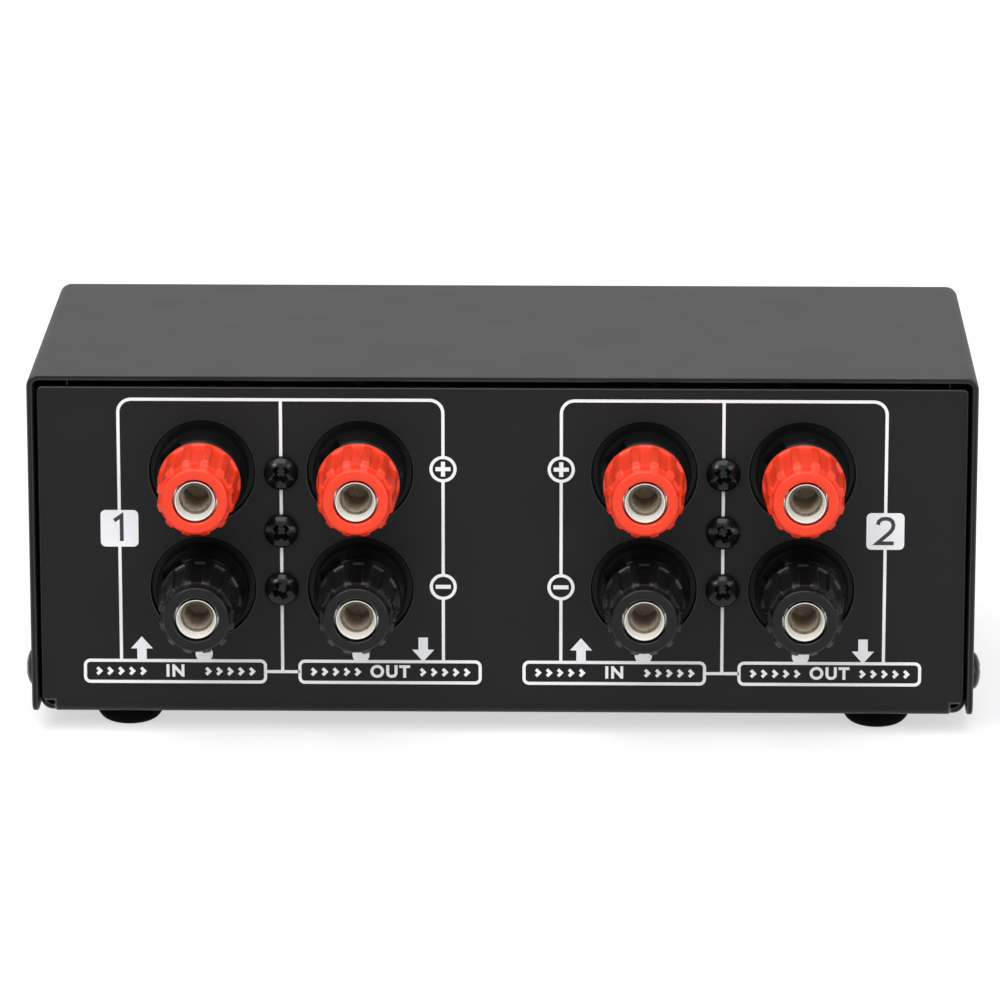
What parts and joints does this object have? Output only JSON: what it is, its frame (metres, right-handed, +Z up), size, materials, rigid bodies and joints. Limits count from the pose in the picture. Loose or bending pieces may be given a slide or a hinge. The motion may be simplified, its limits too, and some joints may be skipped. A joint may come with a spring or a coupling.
{
  "type": "speaker volume control box",
  "caption": "Folded sheet-metal box with ribbed binding posts on its rear and volume knobs on its front, for setting the level of a pair of speakers.",
  "frame": {"origin": "middle of the box on the plane that its feet stand on", "axes": "+X to the right seen from the knobs, -Y out of the front panel with the knobs, +Y out of the rear panel with the binding posts, +Z up"},
  "size_m": [0.1534, 0.0996, 0.0593],
  "materials": {
    "black_paint": "satin",
    "foot_rubber": "matte",
    "black_screw": "satin",
    "plated_steel": "satin",
    "tinned_brass": "satin",
    "nickel": "polished",
    "red_plastic": "gloss",
    "black_plastic": "gloss",
    "phenolic": "matte",
    "winding": "satin",
    "knob_plastic": "matte",
    "pointer_white": "matte",
    "red_wire": "satin",
    "black_wire": "satin"
  },
  "bodies": {
    "box": {"chassis_base": "black_paint", "top_cover": "black_paint", "rubber_feet": "foot_rubber", "cover_screws": "black_screw", "terminal_screws": "black_screw", "stud_nuts": "plated_steel", "bushing_washers": "plated_steel", "bushing_nuts": "plated_steel", "solder_tags": "tinned_brass", "attenuator_lugs": "tinned_brass", "stud_right_in_pos": "nickel", "stud_right_in_neg": "nickel", "stud_right_out_pos": "nickel", "stud_right_out_neg": "nickel", "stud_left_in_pos": "nickel", "stud_left_in_neg": "nickel", "stud_left_out_pos": "nickel", "stud_left_out_neg": "nickel", "terminal_block_right": "black_plastic", "attenuator_housing_right": "phenolic", "attenuator_back_right": "phenolic", "resistance_ring_right": "winding", "bushing_right": "plated_steel", "signal_wires_right": "red_wire", "return_wires_right": "black_wire", "terminal_block_left": "black_plastic", "attenuator_housing_left": "phenolic", "attenuator_back_left": "phenolic", "resistance_ring_left": "winding", "bushing_left": "plated_steel", "signal_wires_left": "red_wire", "return_wires_left": "black_wire"},
    "clamp_right_in_pos": {"cap_insert_right_in_pos": "nickel"},
    "cap_right_in_pos": {"cap_shell_right_in_pos": "red_plastic"},
    "clamp_right_in_neg": {"cap_insert_right_in_neg": "nickel"},
    "cap_right_in_neg": {"cap_shell_right_in_neg": "black_plastic"},
    "clamp_right_out_pos": {"cap_insert_right_out_pos": "nickel"},
    "cap_right_out_pos": {"cap_shell_right_out_pos": "red_plastic"},
    "clamp_right_out_neg": {"cap_insert_right_out_neg": "nickel"},
    "cap_right_out_neg": {"cap_shell_right_out_neg": "black_plastic"},
    "clamp_left_in_pos": {"cap_insert_left_in_pos": "nickel"},
    "cap_left_in_pos": {"cap_shell_left_in_pos": "red_plastic"},
    "clamp_left_in_neg": {"cap_insert_left_in_neg": "nickel"},
    "cap_left_in_neg": {"cap_shell_left_in_neg": "black_plastic"},
    "clamp_left_out_pos": {"cap_insert_left_out_pos": "nickel"},
    "cap_left_out_pos": {"cap_shell_left_out_pos": "red_plastic"},
    "clamp_left_out_neg": {"cap_insert_left_out_neg": "nickel"},
    "cap_left_out_neg": {"cap_shell_left_out_neg": "black_plastic"},
    "volume_right": {"volume_shaft_right": "plated_steel", "wiper_right": "winding", "knob_right": "knob_plastic", "knob_pointer_right": "pointer_white", "knob_screw_right": "black_screw"},
    "volume_left": {"volume_shaft_left": "plated_steel", "wiper_left": "winding", "knob_left": "knob_plastic", "knob_pointer_left": "pointer_white", "knob_screw_left": "black_screw"}
  },
  "joints": [
    {"name": "cap_lift_right_in_pos", "type": "slide", "parent": "box", "child": "clamp_right_in_pos", "axis": [0, 1, 0], "range_m": [0, 0.005]},
    {"name": "cap_turn_right_in_pos", "type": "hinge", "parent": "clamp_right_in_pos", "child": "cap_right_in_pos", "pos_m": [0.0475, 0.041, 0.04317], "axis": [0, 1, 0], "range_deg": [-10, 1810]},
    {"name": "cap_lift_right_in_neg", "type": "slide", "parent": "box", "child": "clamp_right_in_neg", "axis": [0, 1, 0], "range_m": [0, 0.005]},
    {"name": "cap_turn_right_in_neg", "type": "hinge", "parent": "clamp_right_in_neg", "child": "cap_right_in_neg", "pos_m": [0.0475, 0.041, 0.02413], "axis": [0, 1, 0], "range_deg": [-10, 1810]},
    {"name": "cap_lift_right_out_pos", "type": "slide", "parent": "box", "child": "clamp_right_out_pos", "axis": [0, 1, 0], "range_m": [0, 0.005]},
    {"name": "cap_turn_right_out_pos", "type": "hinge", "parent": "clamp_right_out_pos", "child": "cap_right_out_pos", "pos_m": [0.0225, 0.041, 0.04317], "axis": [0, 1, 0], "range_deg": [-10, 1810]},
    {"name": "cap_lift_right_out_neg", "type": "slide", "parent": "box", "child": "clamp_right_out_neg", "axis": [0, 1, 0], "range_m": [0, 0.005]},
    {"name": "cap_turn_right_out_neg", "type": "hinge", "parent": "clamp_right_out_neg", "child": "cap_right_out_neg", "pos_m": [0.0225, 0.041, 0.02413], "axis": [0, 1, 0], "range_deg": [-10, 1810]},
    {"name": "cap_lift_left_in_pos", "type": "slide", "parent": "box", "child": "clamp_left_in_pos", "axis": [0, 1, 0], "range_m": [0, 0.005]},
    {"name": "cap_turn_left_in_pos", "type": "hinge", "parent": "clamp_left_in_pos", "child": "cap_left_in_pos", "pos_m": [-0.0225, 0.041, 0.04317], "axis": [0, 1, 0], "range_deg": [-10, 1810]},
    {"name": "cap_lift_left_in_neg", "type": "slide", "parent": "box", "child": "clamp_left_in_neg", "axis": [0, 1, 0], "range_m": [0, 0.005]},
    {"name": "cap_turn_left_in_neg", "type": "hinge", "parent": "clamp_left_in_neg", "child": "cap_left_in_neg", "pos_m": [-0.0225, 0.041, 0.02413], "axis": [0, 1, 0], "range_deg": [-10, 1810]},
    {"name": "cap_lift_left_out_pos", "type": "slide", "parent": "box", "child": "clamp_left_out_pos", "axis": [0, 1, 0], "range_m": [0, 0.005]},
    {"name": "cap_turn_left_out_pos", "type": "hinge", "parent": "clamp_left_out_pos", "child": "cap_left_out_pos", "pos_m": [-0.0475, 0.041, 0.04317], "axis": [0, 1, 0], "range_deg": [-10, 1810]},
    {"name": "cap_lift_left_out_neg", "type": "slide", "parent": "box", "child": "clamp_left_out_neg", "axis": [0, 1, 0], "range_m": [0, 0.005]},
    {"name": "cap_turn_left_out_neg", "type": "hinge", "parent": "clamp_left_out_neg", "child": "cap_left_out_neg", "pos_m": [-0.0475, 0.041, 0.02413], "axis": [0, 1, 0], "range_deg": [-10, 1810]},
    {"name": "volume_turn_right", "type": "hinge", "parent": "box", "child": "volume_right", "pos_m": [0.035, -0.031, 0.0313], "axis": [0, 1, 0], "range_deg": [-150, 150]},
    {"name": "volume_turn_left", "type": "hinge", "parent": "box", "child": "volume_left", "pos_m": [-0.035, -0.031, 0.0313], "axis": [0, 1, 0], "range_deg": [-150, 150]}
  ],
  "couplings": [
    {"joint": "cap_turn_right_in_pos", "follows": "cap_lift_right_in_pos", "rad_per_m": 6283.2},
    {"joint": "cap_turn_right_in_neg", "follows": "cap_lift_right_in_neg", "rad_per_m": 6283.2},
    {"joint": "cap_turn_right_out_pos", "follows": "cap_lift_right_out_pos", "rad_per_m": 6283.2},
    {"joint": "cap_turn_right_out_neg", "follows": "cap_lift_right_out_neg", "rad_per_m": 6283.2},
    {"joint": "cap_turn_left_in_pos", "follows": "cap_lift_left_in_pos", "rad_per_m": 6283.2},
    {"joint": "cap_turn_left_in_neg", "follows": "cap_lift_left_in_neg", "rad_per_m": 6283.2},
    {"joint": "cap_turn_left_out_pos", "follows": "cap_lift_left_out_pos", "rad_per_m": 6283.2},
    {"joint": "cap_turn_left_out_neg", "follows": "cap_lift_left_out_neg", "rad_per_m": 6283.2}
  ]
}
